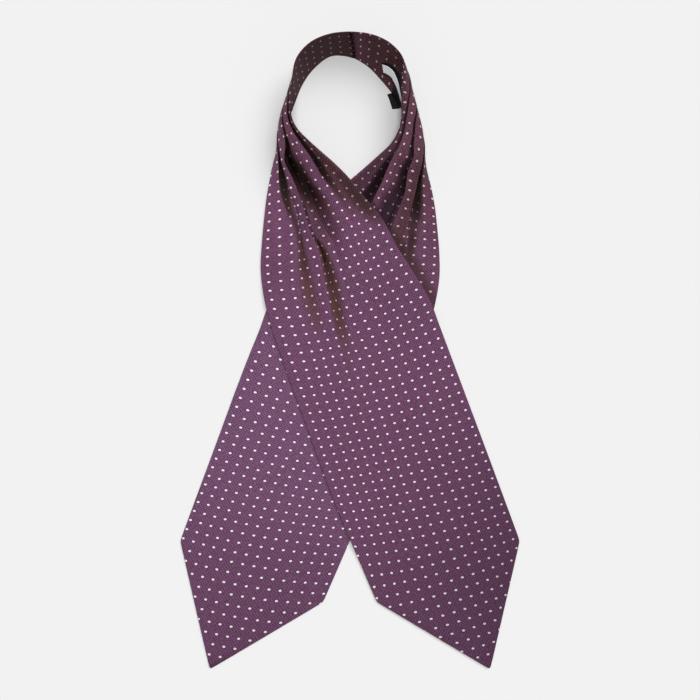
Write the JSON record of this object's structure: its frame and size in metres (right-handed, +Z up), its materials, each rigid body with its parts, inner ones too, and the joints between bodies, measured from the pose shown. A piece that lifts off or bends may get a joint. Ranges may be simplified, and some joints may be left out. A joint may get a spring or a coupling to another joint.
{
  "type": "silk cravat",
  "caption": "Self-tied silk cravat laid out flat: a pleated neckband standing in a loop, and broad pointed blades crossed over each other.",
  "frame": {"origin": "middle of the laid-out cravat's bounding box, on the surface that it lies on", "axes": "+Y runs from the points of the blades towards the neckband, +Z is up, and +X is to the right seen from above with the neckband at the top"},
  "size_m": [0.3394, 0.6248, 0.0411],
  "materials": {
    "silk_face": "plum twill silk with small white dots, soft two-tone sheen",
    "silk_back": "the same dotted silk, seen inside the neckband",
    "black_ribbon": "black woven ribbon, bare",
    "white_ribbon": "white satin ribbon, bare"
  },
  "bodies": {
    "root": {"upper_face_panel": "silk_face", "upper_back_panel": "silk_back", "lower_face_panel": "silk_face", "lower_back_panel": "silk_back", "woven_label": "black_ribbon", "care_label": "white_ribbon"}
  },
  "joints": []
}
